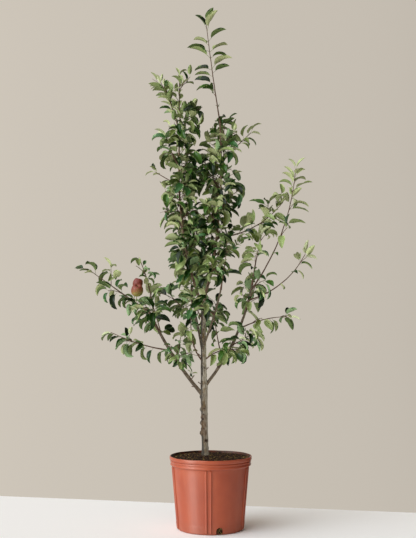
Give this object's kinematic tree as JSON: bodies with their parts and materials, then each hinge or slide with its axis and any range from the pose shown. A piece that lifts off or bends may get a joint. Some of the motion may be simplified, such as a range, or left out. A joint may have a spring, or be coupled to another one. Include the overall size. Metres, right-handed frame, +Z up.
{
  "type": "dwarf apple tree in a pot",
  "caption": "Young dwarf apple tree with two upright leaders, low side boughs, loose leafy shoots and ripening fruit, growing in a ribbed plastic nursery pot.",
  "frame": {"origin": "centre of the pot's flat underside", "axes": "+Z up along the tree, +X to the right of the front view, -Y towards the front"},
  "size_m": [0.8504, 0.5009, 1.8189],
  "materials": {
    "pot_plastic": "satin terracotta-coloured blow-moulded plastic, slightly scuffed",
    "potting_mix": "moist dark peat and bark crumbs",
    "bark": "young grey-brown bark with knots and fine lenticels",
    "foliage": "leathery green leaves, paler underneath, on brown twigs, with red and yellow-green apples"
  },
  "bodies": {
    "root": {"pot": "pot_plastic", "soil": "potting_mix", "trunk": "bark", "right_leader": "bark", "left_leader": "bark", "left_bough": "bark", "right_bough": "bark", "front_bough": "bark", "back_bough": "bark", "top_shoot": "foliage", "left_fan_upright": "foliage", "left_fan_outer": "foliage", "upper_left_twig": "foliage", "upper_right_twig": "foliage", "right_upper_arm": "foliage", "right_bough_tip": "foliage", "right_long_shoot": "foliage", "right_curved_shoot": "foliage", "right_bough_back": "foliage", "right_bough_front": "foliage", "right_low_arm": "foliage", "right_mid": "foliage", "right_inner_arm": "foliage", "right_inner_shoot": "foliage", "left_arm": "foliage", "left_shoot": "foliage", "left_low_arm": "foliage", "left_bough_inner": "foliage", "left_bough_back": "foliage", "left_bough_front": "foliage", "left_inner_shoot": "foliage", "trunk_front": "foliage", "front_bough_tip": "foliage", "front_bough_side": "foliage", "back_bough_tip": "foliage", "back_bough_left": "foliage", "back_bough_right": "foliage", "left_column_1": "foliage", "left_column_2": "foliage", "left_column_3": "foliage", "left_column_4": "foliage", "left_column_5": "foliage", "left_column_6": "foliage", "left_column_7": "foliage", "right_column_1": "foliage", "right_column_2": "foliage", "right_column_3": "foliage", "right_column_4": "foliage", "right_column_5": "foliage", "right_column_6": "foliage", "right_column_7": "foliage"}
  },
  "joints": []
}
